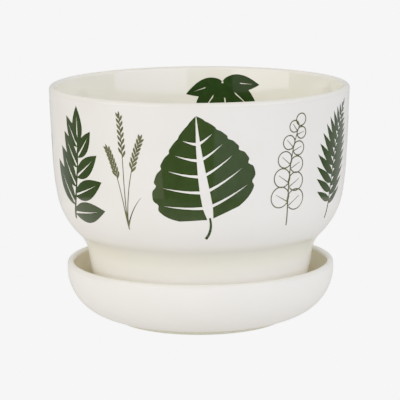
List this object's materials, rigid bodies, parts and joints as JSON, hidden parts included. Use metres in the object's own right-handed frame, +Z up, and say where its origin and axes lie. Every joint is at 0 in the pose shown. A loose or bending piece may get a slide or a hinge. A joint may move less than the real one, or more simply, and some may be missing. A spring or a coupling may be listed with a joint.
{
  "type": "flower pot",
  "caption": "Round glazed stoneware flower pot with a stepped foot and a drain hole, standing loose in a matching round saucer with a raised lip.",
  "frame": {"origin": "centre of the saucer's underside, on the surface that the pot stands on", "axes": "+Z up along the common turning axis of pot and saucer; +X and +Y are any two square directions, since both pieces are round"},
  "size_m": [0.16, 0.16, 0.1265],
  "materials": {
    "saucer_glaze": "gloss",
    "pot_glaze": "gloss",
    "green_print": "gloss"
  },
  "bodies": {
    "saucer": {"saucer": "saucer_glaze"},
    "pot": {"pot": "pot_glaze"}
  },
  "joints": [
    {"name": "pot_lift", "type": "slide", "parent": "saucer", "child": "pot", "axis": [0, 0, 1], "range_m": [0, 0.06]}
  ]
}
